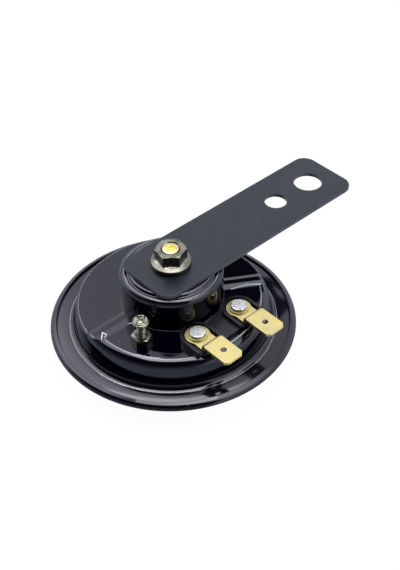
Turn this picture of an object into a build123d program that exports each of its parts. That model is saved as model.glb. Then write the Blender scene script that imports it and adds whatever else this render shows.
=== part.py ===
"""Electric disc horn for a car: pressed steel body, mounting strap, contact breaker and spade terminals.

Millimetres. The horn lies on its flat front face at z = 0, with its rear side up.
The origin is on the horn's axis, +X runs along the mounting strap and the terminals point along -Y.
"""
from build123d import *
import os
from math import cos, radians, sin, sqrt, tan

os.makedirs("parts", exist_ok=True)

# ---------------------------------------------------------------- driving dimensions

# front cover, crimped over the housing flange
rim_radius = 35.1
rim_height = 7.0             # front face to the outermost edge of the crimp
cover_wall = 0.6
cover_seat_width = 6.8       # outermost edge to where the bowl begins
cover_bowl_run = 4.3         # bowl's outer edge to the flat front face
rim_drop = 0.5               # underside of the rim below its outermost edge
crimp_width = 1.9            # outermost edge to the lip's inner edge
crimp_bend = 1.5
slot_count = 16
slot_width = 2.0
slot_inner_radius = 10.0
slot_outer_radius = 21.0

# rear housing, drawn from one sheet
housing_wall = 0.9
flange_clearance = 0.55      # flange edge to the inside of the crimp
shoulder_width = 6.93        # outermost edge of the crimp to the sharp corner of wall and flange
wall_draft = 9.5             # degrees
wall_root_bend = 1.9
platform_height = 6.75       # flange to platform
platform_edge_bend = 0.8
drum_radius = 14.4
drum_height = 11.95          # platform to drum top
drum_root_bend = 0.15
drum_edge_bend = 1.5
seat_radius = 11.7           # raised seat for the strap on the drum top
seat_rise = 0.6
seat_slope = 45.0            # degrees
seat_edge_bend = 0.6
seat_root_bend = 0.3

# raised sector that holds the terminals and the breaker, between two radial lines
sector_start = 180.0         # degrees about +Z
sector_end = 328.0
landing_rise = 0.4           # low step beside the sector
landing_line = 4.65          # middle of the low step, out from the radial line
landing_edge_bend = 1.2
ramp_rise = 0.9              # landing to sector top
ramp_line = 0.7              # middle of the ramp, out from the radial line
ramp_slope = 16.0            # degrees
sector_edge_bend = 2.8

# mounting strap
strap_thickness = 1.0
strap_width = 20.7
strap_near_end = 10.6        # stud axis to the near end
strap_far_end = 63.4         # stud axis to the far end
strap_corner = 4.0
strap_edge_break = 0.2
large_hole_radius = 4.25
large_hole_distance = 54.1
small_hole_radius = 3.3
small_hole_distance = 40.5

# pole core and stud, flange nut
core_radius = 5.0
core_length = 8.8
stud_radius = 2.4
stud_projection = 5.35       # strap to the end of the thread
stud_dome = 0.25
stud_chamfer = 0.15
stud_clearance = 0.15        # radial, in drum top and strap
nut_across_flats = 7.8
nut_height = 5.45
nut_mouth = 0.3              # countersink of the thread at the top, radial
nut_flange_radius = 5.55
nut_flange_edge = 1.35
nut_flange_rise = 0.8        # height of the flange's cone
nut_clearance = 0.05         # radial, around thread
hex_turn = -9.5              # degrees, direction of one flat

# adjusting screw and lock nut
adjuster_inset = 8.52        # axis to the foot of the outer wall
adjuster_direction = 204.35  # degrees about +Z
adjuster_radius = 1.25
adjuster_head_radius = 2.2
adjuster_head_edge = 0.9
adjuster_head_dome = 0.5
adjuster_head_height = 6.85  # sector top to the underside of the head
adjuster_tip = 0.5           # height of the coned tip
adjuster_clearance = 0.05
recess_length = 3.5
recess_width = 0.8
recess_depth = 1.0
collar_radius = 2.6          # collar drawn inward around the screw's thread
collar_height = 1.2
lock_nut_across_flats = 5.0
lock_nut_mouth = 0.4         # countersink of the thread at the top, radial
lock_nut_height = 2.4

# terminal block
terminal_spacing = 15.2
terminal_middle_x = 1.0
terminal_inset = 10.32       # line of the rivets to the foot of the outer wall
pocket_width = 9.4
pocket_offset = 0.15         # round end of the pocket behind the rivet
pocket_gap = 0.25            # to the drum
pocket_wall = 0.85
pocket_floor = 1.0
pocket_rim_height = 1.95     # sector top to the top of the pocket walls
pocket_reach = 5.45          # rivet to the pocket's front
bridge_height = 0.9
bridge_back = 2.25           # rivet line to the bridge's back
boss_radius = 2.5            # boss of the block in its housing hole
boss_clearance = 0.1
tab_thickness = 0.8
tab_width = 6.4
tab_bend = 0.4               # inside radius
neck_width = 5.8
eyelet_radius = 3.45
tab_rise = 1.95              # eyelet to blade
tab_reach = 5.65             # rivet to the outer face of the upright part
tab_shoulder_reach = 6.0     # rivet to the start of the wide blade
tab_tip_reach = 14.75
tab_tip_chamfer = 1.1
tab_tip_bevel = 0.3
tab_hole_radius = 0.85
tab_hole_reach = 10.15
ring_radius = 2.75           # collar of the tab around the rivet
ring_height = 0.5
rivet_radius = 1.5
rivet_head_radius = 2.3
rivet_head_height = 0.8
rivet_hole_clearance = 0.05
peened_radius = 2.2
peened_height = 0.7

# diaphragm stack
gasket_thickness = 0.25
diaphragm_thickness = 0.2
stack_clearance = 0.05
gasket_width = 4.0
diaphragm_rise = 1.15
diaphragm_margin = 2.0       # gasket to the start of the diaphragm's cone
diaphragm_cone_inner = 21.0
diaphragm_bead_radius = 15.0
diaphragm_bead_width = 1.6

# armature with its riveted stem, tone disc
air_gap = 0.8
armature_radius = 4.7
armature_collar_radius = 6.6
armature_collar_height = 0.8
stem_radius = 2.5
stem_clearance = 0.05
tone_disc_thickness = 0.7
tone_disc_radius = 19.0
tone_disc_step = 0.8         # middle above the outer part
tone_disc_middle_radius = 7.0
tone_disc_step_radius = 10.0
spacer_radius = 4.0
spacer_height = 3.1
rivet_washer_height = 0.6
stem_head_radius = 3.6
stem_head_height = 0.8

# coil
bobbin_bore_clearance = 0.1
bobbin_wall = 0.85
bobbin_flange = 0.9
bobbin_top_radius = 10.9
bobbin_bottom_radius = 13.0
bobbin_length = 13.6
winding_radius = 10.6
winding_gap = 0.05           # winding to bobbin and leads
lead_radius = 0.25

# contact breaker
inner_plate_thickness = 0.8
inner_plate_length = 21.9
inner_plate_width = 5.4
inner_plate_y = -18.1
spring_thickness = 0.3
spring_width = 3.6
contact_thickness = 0.3
contact_radius = 1.2
contact_distance = 7.5       # stack to contacts
arm_thickness = 0.5
arm_width = 3.6
arm_overrun = 1.6            # past the adjusting screw
stack_washer_radius = 3.0
spigot_radius = 2.1
spigot_clearance = 0.1
tongue_bend_start = 1.9      # from the contacts
tongue_bend_end = 5.2
tongue_gap = 0.15            # above the armature's collar at rest
tongue_overlap = 1.2         # over the armature's collar
tag_width = 1.6
tag_length = 4.3
eyelet_tail_width = 1.8
eyelet_tail_length = 4.0
lead_eyelet_thickness = 0.4

# ---------------------------------------------------------------- heights

rim_bottom = rim_height - rim_drop
flange_bottom = rim_bottom + cover_wall
flange_top = flange_bottom + housing_wall
lip_top = flange_top + cover_wall
diaphragm_top = flange_bottom - gasket_thickness
diaphragm_bottom = diaphragm_top - diaphragm_thickness
seat_top = diaphragm_bottom - gasket_thickness
seat_bottom = seat_top - cover_wall
platform_top = flange_top + platform_height
landing_top = platform_top + landing_rise
sector_top = landing_top + ramp_rise
sector_ceiling = sector_top - housing_wall
drum_top = platform_top + drum_height
drum_ceiling = drum_top - housing_wall
strap_top = drum_top + strap_thickness
core_face = drum_ceiling - core_length
armature_top = core_face - air_gap
middle_top = diaphragm_top + diaphragm_rise
middle_bottom = middle_top - diaphragm_thickness
collar_top = middle_top + armature_collar_height
tone_disc_top = middle_bottom - spacer_height
tone_disc_bottom = tone_disc_top - tone_disc_thickness
stem_head_top = tone_disc_bottom - rivet_washer_height
stem_head_bottom = stem_head_top - stem_head_height
bobbin_top = drum_ceiling
bobbin_bottom = bobbin_top - bobbin_length
pocket_floor_top = sector_top + pocket_floor
eyelet_top = pocket_floor_top + tab_thickness
blade_top = eyelet_top + tab_rise
ring_top = eyelet_top + ring_height
plate_bottom = sector_ceiling - inner_plate_thickness
spring_bottom = plate_bottom - spring_thickness
arm_top = spring_bottom - 2 * contact_thickness
arm_bottom = arm_top - arm_thickness
lead_eyelet_bottom = plate_bottom - lead_eyelet_thickness

# ---------------------------------------------------------------- radii and places

lip_radius = rim_radius - crimp_width
cover_bowl_radius = rim_radius - cover_seat_width
cover_face_radius = cover_bowl_radius - cover_bowl_run
wall_base_radius = rim_radius - shoulder_width
crimp_inside = rim_radius - cover_wall
flange_radius = crimp_inside - flange_clearance - stack_clearance
stack_radius = lip_radius - 2 * stack_clearance
gasket_inner_radius = stack_radius - gasket_width
diaphragm_cone_outer = gasket_inner_radius - diaphragm_margin
bobbin_bore = core_radius + bobbin_bore_clearance
bobbin_tube_radius = bobbin_bore + bobbin_wall
stud_hole_radius = stud_radius + stud_clearance
rivet_hole_radius = rivet_radius + rivet_hole_clearance
adjuster_distance = wall_base_radius - adjuster_inset
adjuster_x = adjuster_distance * cos(radians(adjuster_direction))
adjuster_y = adjuster_distance * sin(radians(adjuster_direction))
terminal_y = terminal_inset - wall_base_radius
pocket_front_y = terminal_y - pocket_reach
left_x = terminal_middle_x - terminal_spacing / 2
right_x = terminal_middle_x + terminal_spacing / 2
terminal_places = [(left_x, terminal_y), (right_x, terminal_y)]
arm_run = Vector(adjuster_x - left_x, adjuster_y - terminal_y)
arm_angle = arm_run.get_signed_angle(Vector(1, 0), Vector(0, 0, -1))
arm_direction = arm_run.normalized()
contact_place = Vector(left_x, terminal_y) + arm_direction * contact_distance
tongue_angle = (contact_place * -1).get_signed_angle(Vector(1, 0), Vector(0, 0, -1))


# ---------------------------------------------------------------- helpers

def outline(corners):
    """Closed face through corners (x, y) or (x, y, radius); a radius rounds its corner with an arc."""
    points = [Vector(corner[0], corner[1]) for corner in corners]
    radii = [corner[2] if len(corner) > 2 else 0 for corner in corners]
    starts = []
    ends = []
    edges = []
    for i, point in enumerate(points):
        back = (points[i - 1] - point).normalized()
        ahead = (points[(i + 1) % len(points)] - point).normalized()
        if radii[i] == 0:
            starts.append(point)
            ends.append(point)
            continue
        half = radians(back.get_angle(ahead)) / 2
        reach = radii[i] / tan(half)
        middle = point + (back + ahead).normalized() * (radii[i] / sin(half) - radii[i])
        starts.append(point + back * reach)
        ends.append(point + ahead * reach)
        edges.append(ThreePointArc(starts[i], middle, ends[i]))
    for i, end in enumerate(ends):
        start = starts[(i + 1) % len(points)]
        if (start - end).length > 1e-6:
            edges.append(Line(end, start))
    return make_face(edges)


def turned(corners):
    """Solid of revolution about Z from corners (radius, height[, bend])."""
    return revolve(Plane.XZ * outline(corners), Axis.Z)


def disc(radius, bottom, top, x=0.0, y=0.0):
    """Round block between two heights."""
    return Pos(x, y, bottom) * Cylinder(radius, top - bottom, align=(Align.CENTER, Align.CENTER, Align.MIN))


def plate(face, bottom, top):
    """Flat face drawn at z = 0, made into a plate between two heights."""
    return extrude(Pos(0, 0, bottom) * face, top - bottom)


def hexagon(across_flats):
    """Hexagon whose flat looks along hex_turn."""
    return Rot(0, 0, hex_turn) * RegularPolygon(across_flats / 2, 6, major_radius=False, rotation=30)


def chamfered_hexagon(across_flats, bottom, top, x=0.0, y=0.0):
    """Hexagon block whose upper corners are turned off at 30 degrees."""
    corner = across_flats / 2 / cos(radians(30))
    fall = (corner - across_flats / 2) * tan(radians(30))
    cone = turned([(0, bottom), (corner, bottom), (corner, top - fall), (across_flats / 2, top), (0, top)])
    return Pos(x, y, 0) * (plate(hexagon(across_flats), bottom, top) & cone)


# ---------------------------------------------------------------- rear housing

def wall_radius(height, inset):
    """Radius of the drafted outer wall at a height, or of its skin that lies inset deeper."""
    lean = radians(wall_draft)
    return wall_base_radius - (height - flange_top) * tan(lean) - inset / cos(lean)


def direction(degrees):
    """Unit vector in the plan."""
    return Vector(cos(radians(degrees)), sin(radians(degrees)))


def sector_prism(line, low, level, high):
    """Oblique prism over the sector; its sides pass the level at the line's distance from the radial lines."""
    middle = direction((sector_start + sector_end) / 2)
    apex = middle * (-1 / sin(radians(sector_end - sector_start) / 2))
    reach = 3 * rim_radius
    run = 1 / tan(radians(ramp_slope))
    start = apex * (line + (level - low) * run)
    left = start + direction(sector_start) * reach
    right = start + direction(sector_end) * reach
    ahead = middle * reach
    base = Pos(0, 0, low) * make_face(Polyline(start, left, left + ahead, right + ahead, right, close=True))
    slant = Vector(-apex.X * run, -apex.Y * run, 1) * (high - low)
    return extrude(base, slant.length, dir=slant.normalized())


def sector_step(level, rise, line, bend, inset):
    """Raised part of the platform: a ring with a bent outer edge, kept inside the sector."""
    top = level - inset
    low = platform_top - sector_edge_bend - inset
    inner = drum_radius - inset
    core = inner - platform_edge_bend
    crown = top + drum_root_bend + inset + rise
    ring = turned([
        (core, low),
        (wall_radius(low, inset), low),
        (wall_radius(top, inset), top, bend - inset),
        (inner, top, drum_root_bend + inset),
        (inner, crown),
        (core, crown),
    ])
    shift = inset * tan(radians(ramp_slope / 2))
    room = sector_prism(line - shift, low, top - rise / 2, crown)
    return ring & room, room


def housing_form(inset):
    """Solid under the housing's outer skin, or under its inner skin when inset by the wall."""
    base = flange_bottom - inset
    foot = flange_top - inset
    level = platform_top - inset
    top = drum_top - inset
    drum = drum_radius - inset
    seat = seat_radius - inset * tan(radians(seat_slope / 2))
    seat_foot = seat + seat_rise / tan(radians(seat_slope))
    form = turned([
        (0, base),
        (flange_radius, base),
        (flange_radius, foot),
        (wall_radius(foot, inset), foot, wall_root_bend + inset),
        (wall_radius(level, inset), level, max(platform_edge_bend - inset, 0.1)),
        (drum, level, drum_root_bend + inset),
        (drum, top - seat_rise, drum_edge_bend - inset),
        (seat_foot, top - seat_rise, seat_root_bend + inset),
        (seat, top, max(seat_edge_bend - inset, 0)),
        (0, top),
    ])
    landing, _ = sector_step(landing_top, landing_rise, landing_line, landing_edge_bend, inset)
    sector, sector_room = sector_step(sector_top, ramp_rise, ramp_line, sector_edge_bend, inset)
    low = platform_top - sector_edge_bend - inset
    corner = turned([
        (drum + sector_edge_bend, low),
        (rim_radius, low),
        (rim_radius, top),
        (drum + sector_edge_bend, top),
    ])
    return form + landing - (corner & sector_room) + sector


def make_rear_housing():
    body = housing_form(0) - housing_form(housing_wall)
    body += disc(collar_radius, sector_ceiling - collar_height, sector_ceiling, adjuster_x, adjuster_y)
    thread_radius = adjuster_radius + adjuster_clearance
    body -= disc(thread_radius, arm_bottom, drum_top, adjuster_x, adjuster_y)
    body -= disc(stud_hole_radius, core_face, strap_top)
    for x, y in terminal_places:
        body -= disc(boss_radius + boss_clearance, plate_bottom, drum_ceiling, x, y)
    return body


# ---------------------------------------------------------------- front cover

def make_front_cover():
    lean = (cover_bowl_radius - cover_face_radius) / seat_bottom
    inward = cover_wall * sqrt(1 + lean * lean)
    bend = cover_wall / 2
    step_radius = stack_radius + stack_clearance
    shell = turned([
        (0, 0),
        (cover_face_radius, 0, 2.5 * cover_wall),
        (cover_bowl_radius, seat_bottom, cover_wall),
        (step_radius + cover_wall, seat_bottom, bend),
        (step_radius + cover_wall, rim_bottom),
        (rim_radius - rim_drop, rim_bottom, bend),
        (rim_radius, rim_height, bend),
        (rim_radius - rim_drop, flange_top, crimp_bend),
        (lip_radius, lip_top, bend / 2),
        (lip_radius, flange_top),
        (flange_radius + stack_clearance, flange_top),
        (crimp_inside, flange_bottom),
        (step_radius, flange_bottom),
        (step_radius, seat_top),
        (cover_face_radius + seat_top * lean - inward, seat_top),
        (cover_face_radius + cover_wall * lean - inward, cover_wall, 1.5 * cover_wall),
        (0, cover_wall),
    ])
    middle = (slot_inner_radius + slot_outer_radius) / 2
    slot = SlotOverall(slot_outer_radius - slot_inner_radius, slot_width)
    slots = PolarLocations(middle, slot_count) * plate(slot, -cover_wall, 2 * cover_wall)
    return shell - slots


# ---------------------------------------------------------------- strap, stud and nut

def make_mounting_bracket():
    length = strap_near_end + strap_far_end
    middle = (strap_far_end - strap_near_end) / 2
    face = Pos(middle, 0) * RectangleRounded(length, strap_width, strap_corner)
    face -= Circle(stud_hole_radius)
    face -= Pos(small_hole_distance, 0) * Circle(small_hole_radius)
    face -= Pos(large_hole_distance, 0) * Circle(large_hole_radius)
    strap = plate(face, drum_top, strap_top)
    rim = strap.faces().sort_by(Axis.Z)[-1].outer_wire().edges()
    return fillet(rim, strap_edge_break)


def make_mounting_stud():
    """Pole core of the magnet with the stud that carries the horn, in one turned piece."""
    end = strap_top + stud_projection
    return turned([
        (0, core_face),
        (core_radius, core_face, 0.3),
        (core_radius, drum_ceiling),
        (stud_radius, drum_ceiling),
        (stud_radius, end, stud_chamfer),
        (stud_radius / 2, end + stud_dome, stud_radius),
        (0, end + stud_dome),
    ])


def make_flange_nut():
    cone_foot = strap_top + nut_flange_edge
    cone_radius = nut_across_flats / 2
    flange = turned([
        (0, strap_top),
        (nut_flange_radius, strap_top, 0.25),
        (nut_flange_radius, cone_foot, 0.25),
        (cone_radius, cone_foot + nut_flange_rise),
        (0, cone_foot + nut_flange_rise),
    ])
    top = strap_top + nut_height
    bore = stud_radius + nut_clearance
    mouth = bore + nut_mouth
    hollow = turned([
        (0, drum_top),
        (bore, drum_top),
        (bore, top - nut_mouth),
        (mouth, top),
        (mouth, top + 1),
        (0, top + 1),
    ])
    return flange + chamfered_hexagon(nut_across_flats, strap_top, top) - hollow


# ---------------------------------------------------------------- adjusting screw and lock nut

def make_adjusting_screw():
    head_bottom = sector_top + adjuster_head_height
    head_edge = head_bottom + adjuster_head_edge
    head_top = head_edge + adjuster_head_dome
    screw = turned([
        (0, arm_top),
        (adjuster_radius / 2, arm_top),
        (adjuster_radius, arm_top + adjuster_tip),
        (adjuster_radius, head_bottom),
        (adjuster_head_radius, head_bottom, 0.15),
        (adjuster_head_radius, head_edge, 0.4),
        (adjuster_head_radius / 2, head_top, adjuster_head_radius),
        (0, head_top),
    ])
    cross = Rectangle(recess_length, recess_width) + Rectangle(recess_width, recess_length)
    screw -= plate(cross, head_top - recess_depth, head_top + 1)
    return Pos(adjuster_x, adjuster_y, 0) * screw


def make_adjuster_lock_nut():
    top = sector_top + lock_nut_height
    nut = chamfered_hexagon(lock_nut_across_flats, sector_top, top)
    bore = adjuster_radius + adjuster_clearance
    hollow = turned([
        (0, sector_ceiling),
        (bore, sector_ceiling),
        (bore, top - lock_nut_mouth),
        (bore + lock_nut_mouth, top),
        (bore + lock_nut_mouth, top + 1),
        (0, top + 1),
    ])
    return Pos(adjuster_x, adjuster_y, 0) * (nut - hollow)


# ---------------------------------------------------------------- terminals

def pocket_face(width):
    """Plan of a U-shaped pocket: a round end around the rivet and a straight front."""
    length = pocket_reach + pocket_offset
    straight = Pos(0, pocket_offset - length / 2) * Rectangle(width, length)
    return Pos(0, pocket_offset) * Circle(width / 2) + straight


def make_terminal_insulator():
    floor = pocket_face(pocket_width)
    hollow = pocket_face(pocket_width - 2 * pocket_wall)
    open_front = Pos(0, -pocket_reach) * Rectangle(pocket_width - 2 * pocket_wall, 2 * pocket_wall)
    bridge = Rectangle(terminal_spacing, bridge_back + pocket_reach)
    bridge = Pos(terminal_middle_x, terminal_y + (bridge_back - pocket_reach) / 2) * bridge
    block = plate(bridge, sector_top, sector_top + bridge_height)
    for x, y in terminal_places:
        block += plate(Pos(x, y) * floor, sector_top, sector_top + pocket_rim_height)
    for x, y in terminal_places:
        block -= plate(Pos(x, y) * (hollow + open_front), pocket_floor_top, drum_ceiling)
        block += disc(boss_radius, sector_ceiling, sector_top, x, y)
        block -= disc(rivet_hole_radius, plate_bottom, drum_ceiling, x, y)
    return block - disc(drum_radius + pocket_gap, sector_top, drum_top)


def make_terminal_tab(x):
    """Spade terminal: an eyelet on the pocket floor, bent up and out again to the blade."""
    half = tab_width / 2
    plan = make_face(Polyline(
        (-half, -tab_shoulder_reach),
        (-half, tab_tip_chamfer - tab_tip_reach),
        (tab_tip_chamfer - half, -tab_tip_reach),
        (half - tab_tip_chamfer, -tab_tip_reach),
        (half, tab_tip_chamfer - tab_tip_reach),
        (half, -tab_shoulder_reach),
        close=True,
    ))
    plan += Pos(0, -tab_shoulder_reach / 2) * Rectangle(neck_width, tab_shoulder_reach)
    plan += Circle(eyelet_radius)
    plan -= Pos(0, -tab_hole_reach) * Circle(tab_hole_radius)
    blade_bottom = blade_top - tab_thickness
    outer_bend = tab_bend + tab_thickness
    strip = outline([
        (eyelet_radius, pocket_floor_top),
        (-tab_reach, pocket_floor_top, outer_bend),
        (-tab_reach, blade_bottom, tab_bend),
        (tab_tip_bevel - tab_tip_reach, blade_bottom),
        (-tab_tip_reach, blade_bottom + tab_tip_bevel),
        (-tab_tip_reach, blade_top - tab_tip_bevel),
        (tab_tip_bevel - tab_tip_reach, blade_top),
        (tab_thickness - tab_reach, blade_top, outer_bend),
        (tab_thickness - tab_reach, eyelet_top, tab_bend),
        (eyelet_radius, eyelet_top),
    ])
    tab = extrude(Plane.YZ * strip, eyelet_radius, both=True) & plate(plan, sector_top, drum_top)
    tab += disc(ring_radius, pocket_floor_top, ring_top)
    tab -= disc(rivet_hole_radius, plate_bottom, blade_top)
    return Pos(x, terminal_y, 0) * tab


def make_rivet(x, end):
    """Rivet with a flat head on the tab and a peened end under the stack."""
    head_top = ring_top + rivet_head_height
    rivet = turned([
        (0, end - peened_height),
        (peened_radius, end - peened_height, 0.4),
        (peened_radius, end),
        (rivet_radius, end),
        (rivet_radius, ring_top),
        (rivet_head_radius, ring_top, 0.15),
        (rivet_head_radius, head_top, 0.3),
        (0, head_top),
    ])
    return Pos(x, terminal_y, 0) * rivet


def make_inner_insulator():
    face = Pos(terminal_middle_x, inner_plate_y) * RectangleRounded(inner_plate_length, inner_plate_width, 1.5)
    for x, y in terminal_places:
        face -= Pos(x, y) * Circle(rivet_hole_radius)
    return plate(face, plate_bottom, sector_ceiling)


# ---------------------------------------------------------------- diaphragm, gaskets, armature and tone disc

def ring(inner, outer, bottom, top):
    """Flat ring between two radii and two heights."""
    return plate(Circle(outer) - Circle(inner), bottom, top)


def make_diaphragm():
    """Spring steel diaphragm: clamped edge, cone, one bead and a flat middle."""
    drop = diaphragm_thickness
    bead_in = diaphragm_bead_radius - diaphragm_bead_width
    bead_out = diaphragm_bead_radius + diaphragm_bead_width
    bead_top = middle_top + diaphragm_bead_width / 2
    inner = stem_radius + stem_clearance
    bend = 4 * drop
    return turned([
        (inner, middle_bottom),
        (bead_in, middle_bottom, bend),
        (diaphragm_bead_radius, bead_top - drop, bend),
        (bead_out, middle_bottom, bend),
        (diaphragm_cone_inner, middle_bottom, bend),
        (diaphragm_cone_outer, diaphragm_bottom, bend),
        (stack_radius, diaphragm_bottom),
        (stack_radius, diaphragm_top),
        (diaphragm_cone_outer, diaphragm_top, bend),
        (diaphragm_cone_inner, middle_top, bend),
        (bead_out, middle_top, bend),
        (diaphragm_bead_radius, bead_top, bend),
        (bead_in, middle_top, bend),
        (inner, middle_top),
    ])


def make_armature():
    """Armature with the collar that lifts the contact spring, and a stem that is peened under the tone disc."""
    return turned([
        (0, stem_head_bottom),
        (stem_head_radius, stem_head_bottom, 0.5),
        (stem_head_radius, stem_head_top),
        (stem_radius, stem_head_top),
        (stem_radius, middle_top),
        (armature_collar_radius, middle_top),
        (armature_collar_radius, collar_top, 0.2),
        (armature_radius, collar_top),
        (armature_radius, armature_top, 0.3),
        (0, armature_top),
    ])


def make_tone_disc():
    drop = tone_disc_thickness
    low_top = tone_disc_top - tone_disc_step
    return turned([
        (stem_radius + stem_clearance, tone_disc_bottom),
        (tone_disc_middle_radius, tone_disc_bottom, drop),
        (tone_disc_step_radius, low_top - drop, drop),
        (tone_disc_radius, low_top - drop),
        (tone_disc_radius, low_top),
        (tone_disc_step_radius, low_top, drop),
        (tone_disc_middle_radius, tone_disc_top, drop),
        (stem_radius + stem_clearance, tone_disc_top),
    ])


# ---------------------------------------------------------------- coil

def make_coil_bobbin():
    return turned([
        (bobbin_bore, bobbin_bottom),
        (bobbin_bottom_radius, bobbin_bottom),
        (bobbin_bottom_radius, bobbin_bottom + bobbin_flange),
        (bobbin_tube_radius, bobbin_bottom + bobbin_flange),
        (bobbin_tube_radius, bobbin_top - bobbin_flange),
        (bobbin_top_radius, bobbin_top - bobbin_flange),
        (bobbin_top_radius, bobbin_top),
        (bobbin_bore, bobbin_top),
    ])


def make_coil_winding():
    bottom = bobbin_bottom + bobbin_flange + winding_gap
    top = bobbin_top - bobbin_flange - winding_gap
    return ring(bobbin_tube_radius + winding_gap, winding_radius, bottom, top)


def make_lead(x, y, height):
    """Coil lead: from the side of the winding straight out to the middle of a solder tag."""
    target = Vector(x, y, height)
    out = Vector(x, y).normalized() * (winding_radius + winding_gap)
    start = Vector(out.X, out.Y, height)
    run = target - start
    return extrude(Plane(start, z_dir=run.normalized()) * Circle(lead_radius), run.length)


# ---------------------------------------------------------------- contact breaker

def tag_place(x, length):
    """Middle of a solder tag that points from a rivet at x to the horn's axis."""
    towards = Vector(-x, -terminal_y).normalized()
    place = Vector(x, terminal_y) + towards * length
    return place, towards


def solder_tag(x, length, width):
    """Plan of a strip from the rivet at x towards the coil."""
    end, towards = tag_place(x, length)
    middle = (end + Vector(x, terminal_y)) * 0.5
    turn = towards.get_signed_angle(Vector(1, 0), Vector(0, 0, -1))
    return Pos(middle.X, middle.Y) * Rot(0, 0, turn) * Rectangle(length, width)


def arm_strip(length, width):
    """Plan of a strip with a round end, from the stack along the line to the adjusting screw."""
    middle = Vector(left_x, terminal_y) + arm_direction * (length / 2)
    return Pos(middle.X, middle.Y) * Rot(0, 0, arm_angle) * SlotCenterToCenter(length, width)


def make_fixed_contact_arm():
    face = arm_strip(arm_run.length + arm_overrun, arm_width)
    face += Pos(left_x, terminal_y) * Circle(stack_washer_radius)
    face -= Pos(left_x, terminal_y) * Circle(rivet_hole_radius)
    return plate(face, arm_bottom, arm_top)


def make_moving_contact_spring():
    """Leaf spring: clamped in the stack, over the contacts, then down to a tongue above the armature's collar."""
    face = arm_strip(contact_distance, spring_width)
    face += Pos(left_x, terminal_y) * Circle(stack_washer_radius)
    face += solder_tag(left_x, tag_length, tag_width)
    face -= Pos(left_x, terminal_y) * Circle(spigot_radius + spigot_clearance)
    spring = plate(face, spring_bottom, plate_bottom)
    fall = spring_bottom - (collar_top + tongue_gap)
    tip = contact_place.length - armature_collar_radius + tongue_overlap
    profile = make_face(Polyline(
        (0, 0),
        (tongue_bend_start, 0),
        (tongue_bend_end, -fall),
        (tip, -fall),
        (tip, spring_thickness - fall),
        (tongue_bend_end + spring_thickness, spring_thickness - fall),
        (tongue_bend_start + spring_thickness, spring_thickness),
        (0, spring_thickness),
        close=True,
    ))
    tongue = extrude(Plane.XZ * profile, spring_width / 2, both=True)
    tongue = Rot(0, 0, tongue_angle) * tongue
    return spring + Pos(contact_place.X, contact_place.Y, spring_bottom) * tongue


def make_contact_insulator():
    """Flanged bush that keeps the leaf spring off the rivet and the arm."""
    washer = disc(stack_washer_radius, arm_top, spring_bottom)
    washer += disc(spigot_radius, spring_bottom, plate_bottom)
    washer -= disc(rivet_hole_radius, arm_bottom, plate_bottom + 1)
    return Pos(left_x, terminal_y, 0) * washer


def make_lead_eyelet():
    face = Pos(right_x, terminal_y) * Circle(stack_washer_radius)
    face += solder_tag(right_x, eyelet_tail_length, eyelet_tail_width)
    face -= Pos(right_x, terminal_y) * Circle(rivet_hole_radius)
    return plate(face, lead_eyelet_bottom, plate_bottom)


def contact_point(bottom):
    """Round contact at the contact place."""
    return disc(contact_radius, bottom, bottom + contact_thickness, contact_place.X, contact_place.Y)


# ---------------------------------------------------------------- all pieces

stem_bore = stem_radius + stem_clearance
left_tag, _ = tag_place(left_x, tag_length - tag_width / 2)
right_tag, _ = tag_place(right_x, eyelet_tail_length - eyelet_tail_width / 2)

pieces = {
    "rear_housing": make_rear_housing(),
    "front_cover": make_front_cover(),
    "mounting_bracket": make_mounting_bracket(),
    "mounting_stud": make_mounting_stud(),
    "flange_nut": make_flange_nut(),
    "adjusting_screw": make_adjusting_screw(),
    "adjuster_lock_nut": make_adjuster_lock_nut(),
    "terminal_insulator": make_terminal_insulator(),
    "terminal_tab_left": make_terminal_tab(left_x),
    "terminal_tab_right": make_terminal_tab(right_x),
    "terminal_rivets": Compound([make_rivet(left_x, arm_bottom), make_rivet(right_x, lead_eyelet_bottom)]),
    "inner_insulator": make_inner_insulator(),
    "gasket_rear": ring(gasket_inner_radius, stack_radius, diaphragm_top, flange_bottom),
    "diaphragm": make_diaphragm(),
    "gasket_front": ring(gasket_inner_radius, stack_radius, seat_top, diaphragm_bottom),
    "armature": make_armature(),
    "tone_disc_spacer": ring(stem_bore, spacer_radius, tone_disc_top, middle_bottom),
    "tone_disc": make_tone_disc(),
    "rivet_washer": ring(stem_bore, spacer_radius, stem_head_top, tone_disc_bottom),
    "coil_bobbin": make_coil_bobbin(),
    "coil_winding": make_coil_winding(),
    "coil_lead_start": make_lead(right_tag.X, right_tag.Y, lead_eyelet_bottom - lead_radius),
    "coil_lead_end": make_lead(left_tag.X, left_tag.Y, spring_bottom - lead_radius),
    "lead_eyelet": make_lead_eyelet(),
    "fixed_contact_arm": make_fixed_contact_arm(),
    "fixed_contact_point": contact_point(arm_top),
    "moving_contact_point": contact_point(arm_top + contact_thickness),
    "moving_contact_spring": make_moving_contact_spring(),
    "contact_insulator": make_contact_insulator(),
}

for name, shape in pieces.items():
    export_step(shape, f"parts/{name}.step")
    print(name, round(shape.volume, 2))
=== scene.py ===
"""Look of the disc horn: enamel, plating, thread and the studio around it.

Sizes on the horn and in its finishes are in millimetres; the stage is in metres, in the part's own frame.
"""

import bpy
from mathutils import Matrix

bl_info = {
    "name": "Disc horn",
    "version": (1, 0, 0),
    "blender": (4, 5, 0),
    "location": "View3D > Sidebar > Horn",
    "description": "Dresses the car horn's frame with its finishes and a plain studio",
    "category": "Object",
}

from math import cos, pi, radians, sin

import bpy
from bpy.props import FloatProperty, FloatVectorProperty, PointerProperty
from mathutils import Quaternion, Vector

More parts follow.
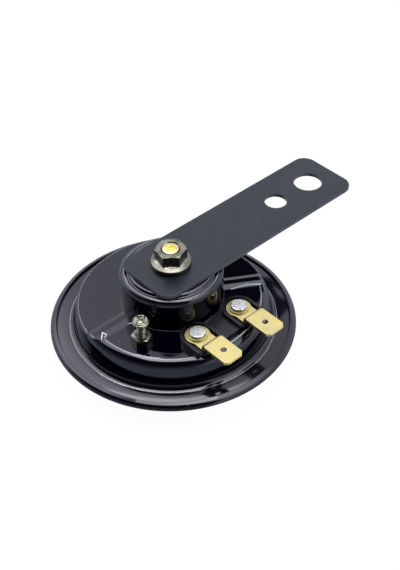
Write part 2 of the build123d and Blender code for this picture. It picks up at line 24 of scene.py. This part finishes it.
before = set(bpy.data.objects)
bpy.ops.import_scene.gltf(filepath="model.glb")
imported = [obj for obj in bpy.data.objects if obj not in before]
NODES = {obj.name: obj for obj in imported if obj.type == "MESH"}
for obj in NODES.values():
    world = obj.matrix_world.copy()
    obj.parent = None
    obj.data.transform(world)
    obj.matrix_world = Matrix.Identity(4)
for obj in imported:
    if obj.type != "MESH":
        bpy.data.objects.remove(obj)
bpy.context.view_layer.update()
MM = 0.001
WHITE = (1.0, 1.0, 1.0)


# ---------------------------------------------------------------- shader maths

def rgba(colour):
    """An RGB colour with full alpha."""
    return (*colour, 1.0)


class Value:
    """A number on a surface. Python's operators on it add Math nodes."""

    def __init__(self, finish, socket):
        self.finish = finish
        self.socket = socket

    def _math(self, operation, first, second=None):
        values = {0: first}
        if second is not None:
            values[1] = second
        return self.finish.value("ShaderNodeMath", {"operation": operation}, values)

    def __add__(self, other):
        return self._math("ADD", self, other)

    def __radd__(self, other):
        return self._math("ADD", other, self)

    def __sub__(self, other):
        return self._math("SUBTRACT", self, other)

    def __rsub__(self, other):
        return self._math("SUBTRACT", other, self)

    def __mul__(self, other):
        return self._math("MULTIPLY", self, other)

    def __truediv__(self, other):
        return self._math("DIVIDE", self, other)

    def sine(self):
        return self._math("SINE", self)

    def ramp(self, low, high):
        """Straight ramp from 0 to 1 between two values."""
        values = {"Value": self, "From Min": low, "From Max": high}
        return self.finish.value("ShaderNodeMapRange", {"clamp": True}, values)

    def step(self, low, high, to_low=0.0, to_high=1.0):
        """Smooth step between two values."""
        settings = {"interpolation_type": "SMOOTHSTEP"}
        values = {"Value": self, "From Min": low, "From Max": high, "To Min": to_low, "To Max": to_high}
        return self.finish.value("ShaderNodeMapRange", settings, values)


class Finish:
    """A node tree: a material's, or the world's."""

    def __init__(self, owner):
        owner.use_nodes = True
        self.tree = owner.node_tree
        self.tree.nodes.clear()

    def node(self, kind, settings=None, values=None):
        """Adds a node, sets its settings first, then sets or links the sockets that values names."""
        made = self.tree.nodes.new(kind)
        for name, setting in (settings or {}).items():
            setattr(made, name, setting)
        for name, value in (values or {}).items():
            socket = made.inputs[name]
            if isinstance(value, Value):
                self.tree.links.new(value.socket, socket)
            elif isinstance(value, bpy.types.NodeSocket):
                self.tree.links.new(value, socket)
            else:
                socket.default_value = value
        return made

    def value(self, kind, settings=None, values=None, output=0):
        """The output of a new node as a Value."""
        return Value(self, self.node(kind, settings, values).outputs[output])

    def place(self):
        """Where a point of the piece is, in millimetres."""
        where = self.node("ShaderNodeTexCoord").outputs["Object"]
        return self.scaled(where, 1 / MM)

    def scaled(self, vector, factor):
        """A vector that many times as long."""
        values = {0: vector, "Scale": factor}
        return self.node("ShaderNodeVectorMath", {"operation": "SCALE"}, values).outputs["Vector"]

    def vector(self, operation, first, second):
        """Vector maths whose answer is a vector."""
        values = {0: first, 1: second}
        return self.node("ShaderNodeVectorMath", {"operation": operation}, values).outputs["Vector"]

    def measure(self, operation, first, second):
        """Vector maths whose answer is a number."""
        return self.value("ShaderNodeVectorMath", {"operation": operation}, {0: first, 1: second}, "Value")

    def height(self, vector):
        """The Z of a vector."""
        return self.value("ShaderNodeSeparateXYZ", None, {0: vector}, "Z")

    def flat_place(self):
        """Where a point of the piece is seen from above, in millimetres."""
        return self.vector("MULTIPLY", self.place(), (1, 1, 0))

    def radius(self):
        """Distance from the horn's axis in millimetres."""
        return self.measure("DISTANCE", self.flat_place(), (0, 0, 0))

    def stroke(self, start, end, width):
        """1 on a straight line between two places seen from above, falling to 0 at its width."""
        along = (end[0] - start[0], end[1] - start[1], 0)
        offset = self.vector("SUBTRACT", self.flat_place(), (*start, 0))
        share = self.measure("DOT_PRODUCT", offset, along) / (along[0] ** 2 + along[1] ** 2)
        nearest = self.scaled(along, share.ramp(0, 1))
        return 1 - self.measure("DISTANCE", offset, nearest).step(width * 0.5, width)

    def level(self):
        """1 where the surface faces straight up, 0 where it is upright."""
        return self.height(self.node("ShaderNodeNewGeometry").outputs["Normal"])

    def noise(self, size, detail=2.0, roughness=0.5, stretch=(1, 1, 1)):
        """Soft noise with patches about that many millimetres wide, longer on axes stretched below 1."""
        values = {
            "Vector": self.vector("MULTIPLY", self.place(), stretch),
            "Scale": 1 / size,
            "Detail": detail,
            "Roughness": roughness,
        }
        return self.value("ShaderNodeTexNoise", None, values)

    def cells(self, size):
        """Distance to the nearest of points scattered about size millimetres apart, as a share of size."""
        return self.value("ShaderNodeTexVoronoi", None, {"Vector": self.place(), "Scale": 1 / size})

    def mix(self, amount, low, high):
        """Colour between low and high, which are RGB colours or the outputs of nodes."""
        low, high = (rgba(colour) if isinstance(colour, tuple) else colour for colour in (low, high))
        made = self.node("ShaderNodeMix", {"data_type": "RGBA"}, {0: amount, 6: low, 7: high})
        return made.outputs[2]

    def shades(self, amount, colour, dark, bright):
        """The colour itself from dark times to bright times as strong."""
        return self.mix(amount, tuple(dark * c for c in colour), tuple(bright * c for c in colour))

    def specks(self, gap, rim, patch):
        """1 on specks of dust about gap millimetres apart, in some patches about patch millimetres wide.

        A speck fades from SPECK_CORE to rim, both as shares of the gap.
        """
        dusty = self.noise(patch, 0.0).step(*DUSTY_PATCHES)
        return self.cells(gap).step(rim, SPECK_CORE) * dusty

    def bump(self, height):
        """Normal from a height in millimetres."""
        return self.node("ShaderNodeBump", None, {"Height": height, "Distance": MM}).outputs[0]

    def surface(self, **values):
        """Principled surface with these sockets, joined to the output."""
        named = {name.replace("_", " "): value for name, value in values.items()}
        shader = self.node("ShaderNodeBsdfPrincipled", None, named)
        self.node("ShaderNodeOutputMaterial", None, {"Surface": shader.outputs[0]})
        return shader


def material(name):
    """New material and its node tree."""
    made = bpy.data.materials.new(name)
    return made, Finish(made)


def coat(made, *names):
    """Gives the named nodes one material all over."""
    for name in names:
        slots = NODES[name].data.materials
        slots.clear()
        slots.append(made)


# ---------------------------------------------------------------- finishes

SPECK_CORE = 0.03
DUSTY_PATCHES = (0.56, 0.6)          # noise above which there is dust
DUST = (0.3, 0.3, 0.32)
STRAP_DUST = (0.32, 0.33, 0.33)
STRAP_SIDE_HIGHLIGHT = (0.07, 0.072, 0.075)    # painted highlight: paler upright sides of the strap
EDGE_HIGHLIGHT = (0.2, 0.2, 0.205)      # painted highlight: a pale line at the start of a bend
# painted reflection on the right ramp
RAMP_REFLECTION = (0.3, 0.31, 0.32)
# painted glint at the corners of the left step
STEP_GLINT = (0.5, 0.51, 0.52)
HIGHLIGHT_FROM = (0.99, 0.994)            # upward parts of the normal between which the painted highlight line fades
HIGHLIGHT_TO = (0.976, 0.981)
ENAMEL_IOR = 1.5
ENAMEL_PEEL = 0.006                  # depths of the fine relief
STRAP_IOR = 1.42
STRAP_GRAIN = 0.004
MOULDING_IOR = 1.4
MOULDING_GRAIN = 0.01
DISH_START = 28.9                    # radii between which the housing's flange is dished
DISH_END = 33.4
DISH_SLOPE = 0.24                    # at the flange's edge
DISH_DULLNESS = 0.07                 # more roughness on the flange
STEP_GLINT_LINES = (                       # painted glints at the corners of the left step: start, end, width
    ((-23.16, 2.39), (-25.3, 0.03), 0.2),
    ((-23.16, 2.39), (-23.12, 0.65), 0.18),
    ((-23.12, 0.65), (-24.3, -0.1), 0.14),
    ((-15.3, -1.1), (-16.2, -0.6), 0.2),
)
RAMP_REFLECTION_LINES = (                     # painted reflection: a pale strip along the right ramp
    ((13.9, -9.6), (18.6, -10.9), 0.5),
    ((18.6, -10.9), (21.2, -13.4), 0.55),
)
THREAD_PITCH = 0.45
THREAD_DEPTH = 0.12                  # each way from the middle
RING_BLUR = 0.15                     # half the width of the change to a ring's colour
ZINC_PATCHES = (0.07, 0.07, 0.05)    # colours of the darker patches
STUD_PATCHES = (0.5, 0.45, 0.06)
BRASS_PATCHES = (0.44, 0.36, 0.13)
RIVET_PATCHES = (0.2, 0.2, 0.2)
NUT_FLANGE_SHADE = (                        # inner radius and colour: painted shade darkening the nut's flange
    (4.6, (0.15, 0.145, 0.11)),
)
STUD_RINGS = (                       # the edge of the stud's end, and its thread
    (1.75, (0.75, 0.5, 0.33)),
    (2.2, (0.1, 0.075, 0.03)),
)


def edge_highlight_lines(f):
    """Painted highlight: a fine pale line at the start of each bend."""
    level = f.level()
    return level.step(*HIGHLIGHT_TO) * (1 - level.step(*HIGHLIGHT_FROM))


def strokes(f, lines):
    """1 on any of the lines."""
    clear = 1
    for start, end, width in lines:
        clear = (1 - f.stroke(start, end, width)) * clear
    return 1 - clear


def flange_dish(f, radius):
    """Height of the dished flange in millimetres: it falls away more and more steeply to its edge."""
    width = DISH_END - DISH_START
    run = radius.ramp(DISH_START, DISH_END) * width
    return run * run * (-DISH_SLOPE / (2 * width))


def gloss_enamel(name, colour, roughness, pressed=False):
    """Black stoving enamel: glossy, with a faint orange peel, dulled patches and a few specks of dust.

    On the pressed housing it has painted highlight lines at the bends, a painted reflection along the right
    ramp and painted glints at the corners of the left step, and its flange is dished.
    """
    made, f = material(name)
    cloud = f.noise(9.0, 3.0)
    peel = f.noise(1.6, 1.0)
    speck = f.specks(2.6, 0.045, 5.0)
    base = f.mix(speck * 0.6, f.shades(cloud, colour, 0.8, 1.2), DUST)
    rough = cloud.step(0.35, 0.75, roughness, roughness * 1.7) + speck * 0.4
    height = peel * ENAMEL_PEEL
    if pressed:
        radius = f.radius()
        height = height + flange_dish(f, radius)
        rough = rough + radius.step(DISH_START - 0.2, DISH_START + 0.2) * DISH_DULLNESS
        # Painted highlight: pale lines at the bends.
        base = f.mix(edge_highlight_lines(f), base, EDGE_HIGHLIGHT)
        # Painted reflection: a pale strip along the right ramp.
        base = f.mix(strokes(f, RAMP_REFLECTION_LINES), base, RAMP_REFLECTION)
        # Painted glints at the corners of the left step.
        base = f.mix(strokes(f, STEP_GLINT_LINES), base, STEP_GLINT)
    f.surface(Base_Color=base, Roughness=rough, Normal=f.bump(height), IOR=ENAMEL_IOR)
    return made


def satin_enamel(colour, roughness):
    """Satin black coat of the strap, between a greenish and a bluish black, with a painted highlight that
    makes its upright sides paler.
    """
    made, f = material("strap_satin")
    cloud = f.noise(7.0, 4.0, 0.6)
    grain = f.noise(0.35, 2.0)
    speck = f.specks(2.2, 0.05, 4.0)
    red, green, blue = colour
    greenish = (red * 0.4, green * 1.3, blue)
    bluish = (red, green, blue * 2.2)
    tint = f.mix(cloud.step(0.35, 0.65), greenish, bluish)
    # Painted highlight: the upright sides are paler.
    tint = f.mix(f.level().step(0.7, 0.3), tint, STRAP_SIDE_HIGHLIGHT)
    base = f.mix(speck * 0.7, tint, STRAP_DUST)
    rough = cloud.step(0.3, 0.7, roughness * 0.92, roughness * 1.12)
    f.surface(Base_Color=base, Roughness=rough, Normal=f.bump(grain * STRAP_GRAIN), IOR=STRAP_IOR)
    return made


def plating(name, colour, dark, roughness, patch=1.2, turn=(0.35, 0.7), grain=0.01, pitch=0.0, rings=()):
    """Bare or plated metal with darker patches, a brushed grain and dulled places.

    The patches are about patch millimetres wide, with edges that soften between the two values of turn, and
    the grain is that deep. A metal with a pitch has a thread. Each of the rings has its inner radius,
    counted from the horn's axis, and its colour.
    """
    made, f = material(name)
    cloud = f.noise(patch, 4.0, 0.65)
    brushed = f.noise(0.12, 2.0, 0.5, (1, 1, 0.25))
    tint = f.mix(cloud.step(*turn), colour, dark)
    for start, ring in rings:
        tint = f.mix(f.radius().step(start - RING_BLUR, start + RING_BLUR), tint, ring)
    rough = cloud.step(0.3, 0.7, roughness * 0.8, roughness * 1.4)
    height = brushed * grain
    if pitch:
        height = height + (f.height(f.place()) * (2 * pi / pitch)).sine() * THREAD_DEPTH
    f.surface(Base_Color=tint, Metallic=1.0, Roughness=rough, Normal=f.bump(height))
    return made


def moulding(name, colour, roughness):
    """Moulded plastic, board or paper with a fine matt grain."""
    made, f = material(name)
    cloud = f.noise(3.0, 3.0)
    grain = f.noise(0.2, 2.0)
    rough = cloud.step(0.3, 0.7, roughness * 0.85, roughness * 1.2)
    base = f.shades(cloud, colour, 0.8, 1.25)
    f.surface(Base_Color=base, Roughness=rough, Normal=f.bump(grain * MOULDING_GRAIN), IOR=MOULDING_IOR)
    return made


# ---------------------------------------------------------------- settings

class HornSettings(bpy.types.PropertyGroup):
    """Colours and dullness that a user would change."""

    enamel: FloatVectorProperty(
        name="Enamel", description="Colour of the body's enamel", subtype="COLOR",
        default=(0.0003, 0.0003, 0.002))
    enamel_roughness: FloatProperty(
        name="Enamel roughness", description="How dull the body's enamel is", default=0.045, min=0.0, max=1.0)
    strap: FloatVectorProperty(
        name="Strap", description="Colour of the strap's coat", subtype="COLOR",
        default=(0.004, 0.0045, 0.005))
    strap_roughness: FloatProperty(
        name="Strap roughness", description="How dull the strap's coat is", default=0.3, min=0.0, max=1.0)
    zinc: FloatVectorProperty(
        name="Zinc", description="Plating of the nuts and the screw", subtype="COLOR",
        default=(0.3, 0.29, 0.22))
    stud: FloatVectorProperty(
        name="Stud", description="Yellow plating of the stud", subtype="COLOR", default=(0.78, 0.66, 0.17))
    brass: FloatVectorProperty(
        name="Brass", description="Colour of the terminals", subtype="COLOR", default=(0.5, 0.43, 0.2))
    rivet: FloatVectorProperty(
        name="Rivet", description="Colour of the rivets", subtype="COLOR", default=(0.54, 0.54, 0.5))


def settings():
    """The scene's own values of the horn's settings."""
    return bpy.context.scene.horn


# ---------------------------------------------------------------- operators

class HORN_OT_body(bpy.types.Operator):
    """Finish the pressed body and the crimped front cover"""

    bl_idname = "horn.body"
    bl_label = "Body"

    def execute(self, context):
        colour = tuple(settings().enamel)
        roughness = settings().enamel_roughness
        coat(gloss_enamel("housing_enamel", colour, roughness, pressed=True), "rear_housing")
        coat(gloss_enamel("cover_enamel", colour, roughness), "front_cover")
        return {"FINISHED"}


class HORN_OT_strap(bpy.types.Operator):
    """Finish the mounting strap"""

    bl_idname = "horn.strap"
    bl_label = "Strap"

    def execute(self, context):
        coat(satin_enamel(tuple(settings().strap), settings().strap_roughness), "mounting_bracket")
        return {"FINISHED"}


class HORN_OT_fasteners(bpy.types.Operator):
    """Finish the stud, the nuts and the adjusting screw"""

    bl_idname = "horn.fasteners"
    bl_label = "Fasteners"

    def execute(self, context):
        zinc = tuple(settings().zinc)
        # The nut's flange is darkened with painted shade.
        nut = plating("olive_zinc", zinc, ZINC_PATCHES, 0.2, patch=3.2, turn=(0.3, 0.7), rings=NUT_FLANGE_SHADE)
        lock_nut = plating("dark_zinc", zinc, ZINC_PATCHES, 0.22, patch=2.0, turn=(0.3, 0.6))
        screw = plating(
            "threaded_zinc", zinc, ZINC_PATCHES, 0.22, patch=0.8, turn=(0.4, 0.7), pitch=THREAD_PITCH)
        stud = plating(
            "yellow_zinc", tuple(settings().stud), STUD_PATCHES, 0.25, patch=1.0, turn=(0.4, 0.6), grain=0.02,
            rings=STUD_RINGS)
        coat(nut, "flange_nut")
        coat(lock_nut, "adjuster_lock_nut")
        coat(screw, "adjusting_screw")
        coat(stud, "mounting_stud")
        return {"FINISHED"}


class HORN_OT_terminals(bpy.types.Operator):
    """Finish the terminal block, the spade terminals and the rivets"""

    bl_idname = "horn.terminals"
    bl_label = "Terminals"

    def execute(self, context):
        black = moulding("black_moulding", (0.002, 0.002, 0.003), 0.3)
        brass = plating("brass_strip", tuple(settings().brass), BRASS_PATCHES, 0.34, patch=3.0, grain=0.006)
        bright = plating(
            "bright_rivet", tuple(settings().rivet), RIVET_PATCHES, 0.3, patch=0.6, turn=(0.48, 0.62),
            grain=0.03)
        coat(black, "terminal_insulator")
        coat(brass, "terminal_tab_left", "terminal_tab_right", "lead_eyelet", "fixed_contact_arm")
        coat(bright, "terminal_rivets", "fixed_contact_point", "moving_contact_point")
        return {"FINISHED"}


class HORN_OT_inside(bpy.types.Operator):
    """Finish the pieces inside the body"""

    bl_idname = "horn.inside"
    bl_label = "Inside"

    def execute(self, context):
        steel = plating("bare_steel", (0.42, 0.42, 0.43), (0.25, 0.24, 0.23), 0.35)
        board = moulding("fibre_board", (0.3, 0.13, 0.06), 0.7)
        paper = moulding("gasket_paper", (0.07, 0.065, 0.06), 0.8)
        nylon = moulding("bobbin_nylon", (0.7, 0.68, 0.6), 0.5)
        copper = plating("enamelled_copper", (0.6, 0.24, 0.1), (0.35, 0.12, 0.05), 0.25)
        coat(steel, "diaphragm", "armature", "tone_disc_spacer", "tone_disc")
        coat(steel, "rivet_washer", "moving_contact_spring")
        coat(board, "inner_insulator", "contact_insulator")
        coat(paper, "gasket_rear", "gasket_front")
        coat(nylon, "coil_bobbin")
        coat(copper, "coil_winding", "coil_lead_start", "coil_lead_end")
        return {"FINISHED"}


# ---------------------------------------------------------------- stage

CAMERA_PLACE = Vector((-135.0, -164.1, 213.9)) * MM
CAMERA_TARGET = Vector((14.9, 5.1, 7.0)) * MM
CAMERA_ROLL = radians(1.02)
CAMERA_LENS = 65.34          # millimetres, like the sensor's width
SENSOR = 36.0
FLOOR_SIZE = 4.0
FLOOR_COLOUR = (0.31, 0.34, 0.42)
FLOOR_GLOW = 0.92            # share of plain white in what the camera sees of the floor
FLOOR_WHITE = 1.05
LAMP_PLACE = Vector((0.077, 0.092, 1.0))
LAMP_SIZE = 0.6
LAMP_POWER = 5.5
ROOM_COLOUR = (0.94, 0.96, 1.1)
ROOM_LOW = 1.25              # brightness of the room's walls
ROOM_RISE = 1.5              # more towards the ceiling
ROOM_RISE_START = 55         # degrees above the floor
ROOM_RISE_END = 75
LEFT_BOX = (105, 52)         # azimuth and elevation of the soft box on the left
LEFT_SPREAD = 36             # degrees from its middle to where it ends
LEFT_LEVEL = 2.2
RIGHT_BOX = (-58, 57)
RIGHT_SPREAD = 30
RIGHT_LEVEL = 2.0
DARK_FRONT = (-155, 30)      # middles of the dark parts of the room
DARK_FRONT_SPREAD = (57, 50)     # degrees from the middle to the room, and to full dark
DARK_FLANK = (175, 22)
DARK_FLANK_SPREAD = (46, 38)
DARK_LEVEL = 0.04
HORIZON_LEVEL = 0.45         # more at the foot of the dark parts
HORIZON_HEIGHT = 0.6         # sine of the elevation where that ends


def make_camera():
    """Camera above the adjusting screw's side of the horn."""
    data = bpy.data.cameras.new("camera")
    data.lens = CAMERA_LENS
    data.sensor_width = SENSOR
    data.clip_start = 0.01
    data.clip_end = 20.0
    camera = bpy.data.objects.new("camera", data)
    bpy.context.scene.collection.objects.link(camera)
    ahead = (CAMERA_TARGET - CAMERA_PLACE).normalized()
    camera.rotation_mode = "QUATERNION"
    camera.rotation_quaternion = ahead.to_track_quat("-Z", "Y") @ Quaternion((0, 0, 1), -CAMERA_ROLL)
    camera.location = CAMERA_PLACE
    bpy.context.scene.camera = camera


def make_lamp():
    """Square soft lamp overhead, turned to the horn."""
    data = bpy.data.lights.new("overhead", "AREA")
    data.shape = "SQUARE"
    data.size = LAMP_SIZE
    data.energy = LAMP_POWER
    lamp = bpy.data.objects.new("overhead", data)
    lamp.location = LAMP_PLACE
    lamp.rotation_mode = "QUATERNION"
    lamp.rotation_quaternion = (-LAMP_PLACE).to_track_quat("-Z", "Y")
    bpy.context.scene.collection.objects.link(lamp)


def compass(azimuth, elevation):
    """Unit vector for degrees about +Z and above the floor."""
    level = cos(radians(elevation))
    return Vector((level * cos(radians(azimuth)), level * sin(radians(azimuth)), sin(radians(elevation))))


def make_world():
    """White for the camera; in reflections a pale room, with two soft boxes and dark on one side."""
    world = bpy.data.worlds.new("room")
    bpy.context.scene.world = world
    f = Finish(world)
    way = f.node("ShaderNodeTexCoord").outputs["Generated"]
    seen = f.node("ShaderNodeLightPath").outputs["Is Camera Ray"]

    def around(middle, outer, inner=0):
        """1 within inner degrees of a middle, falling to 0 at outer degrees."""
        nearness = f.measure("DOT_PRODUCT", way, compass(*middle))
        return nearness.step(cos(radians(outer)), cos(radians(inner)))

    height = f.height(way)
    rise = height.ramp(sin(radians(ROOM_RISE_START)), sin(radians(ROOM_RISE_END)))
    left = around(LEFT_BOX, LEFT_SPREAD)
    right = around(RIGHT_BOX, RIGHT_SPREAD)
    room = ROOM_LOW + rise * ROOM_RISE + left * LEFT_LEVEL + right * RIGHT_LEVEL
    dark = 1 - (1 - around(DARK_FRONT, *DARK_FRONT_SPREAD)) * (1 - around(DARK_FLANK, *DARK_FLANK_SPREAD))
    dim = DARK_LEVEL + (1 - height.ramp(0.0, HORIZON_HEIGHT)) * HORIZON_LEVEL
    strength = room + dark * (dim - room)
    back = f.node("ShaderNodeBackground", None, {"Color": rgba(ROOM_COLOUR), "Strength": strength})
    white = f.node("ShaderNodeBackground", None, {"Color": rgba(WHITE)})
    both = f.node("ShaderNodeMixShader", None, {0: seen, 1: back.outputs[0], 2: white.outputs[0]})
    f.node("ShaderNodeOutputWorld", None, {"Surface": both.outputs[0]})


def make_floor():
    """Pale floor that keeps only a faint shadow."""
    mesh = bpy.data.meshes.new("floor")
    half = FLOOR_SIZE / 2
    corners = [(-half, -half, 0), (half, -half, 0), (half, half, 0), (-half, half, 0)]
    mesh.from_pydata(corners, [], [(0, 1, 2, 3)])
    floor = bpy.data.objects.new("floor", mesh)
    bpy.context.scene.collection.objects.link(floor)
    made, f = material("pale_floor")
    seen = f.value("ShaderNodeLightPath", output="Is Camera Ray")
    diffuse = f.node("ShaderNodeBsdfDiffuse", None, {"Color": rgba(FLOOR_COLOUR)})
    glow = f.node("ShaderNodeEmission", None, {"Color": rgba(WHITE), "Strength": FLOOR_WHITE})
    share = seen * FLOOR_GLOW
    both = f.node("ShaderNodeMixShader", None, {0: share, 1: diffuse.outputs[0], 2: glow.outputs[0]})
    f.node("ShaderNodeOutputMaterial", None, {"Surface": both.outputs[0]})
    mesh.materials.append(made)


class HORN_OT_stage(bpy.types.Operator):
    """Make the floor, the room, the lamp and the camera"""

    bl_idname = "horn.stage"
    bl_label = "Stage"

    def execute(self, context):
        make_floor()
        make_world()
        make_lamp()
        make_camera()
        context.scene.view_settings.view_transform = "Standard"
        return {"FINISHED"}


class HORN_PT_panel(bpy.types.Panel):
    """Sidebar panel of the horn"""

    bl_idname = "HORN_PT_panel"
    bl_label = "Disc horn"
    bl_space_type = "VIEW_3D"
    bl_region_type = "UI"
    bl_category = "Horn"

    def draw(self, context):
        for name in HornSettings.__annotations__:
            self.layout.prop(context.scene.horn, name)
        for operator in OPERATORS:
            self.layout.operator(operator.bl_idname)


OPERATORS = (HORN_OT_body, HORN_OT_strap, HORN_OT_fasteners, HORN_OT_terminals, HORN_OT_inside, HORN_OT_stage)
CLASSES = (HornSettings, *OPERATORS, HORN_PT_panel)


def register():
    for item in CLASSES:
        bpy.utils.register_class(item)
    bpy.types.Scene.horn = PointerProperty(type=HornSettings)


def unregister():
    del bpy.types.Scene.horn
    for item in reversed(CLASSES):
        bpy.utils.unregister_class(item)


def main():
    register()
    bpy.ops.horn.body()
    bpy.ops.horn.strap()
    bpy.ops.horn.fasteners()
    bpy.ops.horn.terminals()
    bpy.ops.horn.inside()
    bpy.ops.horn.stage()


if __name__ == "__main__":
    main()
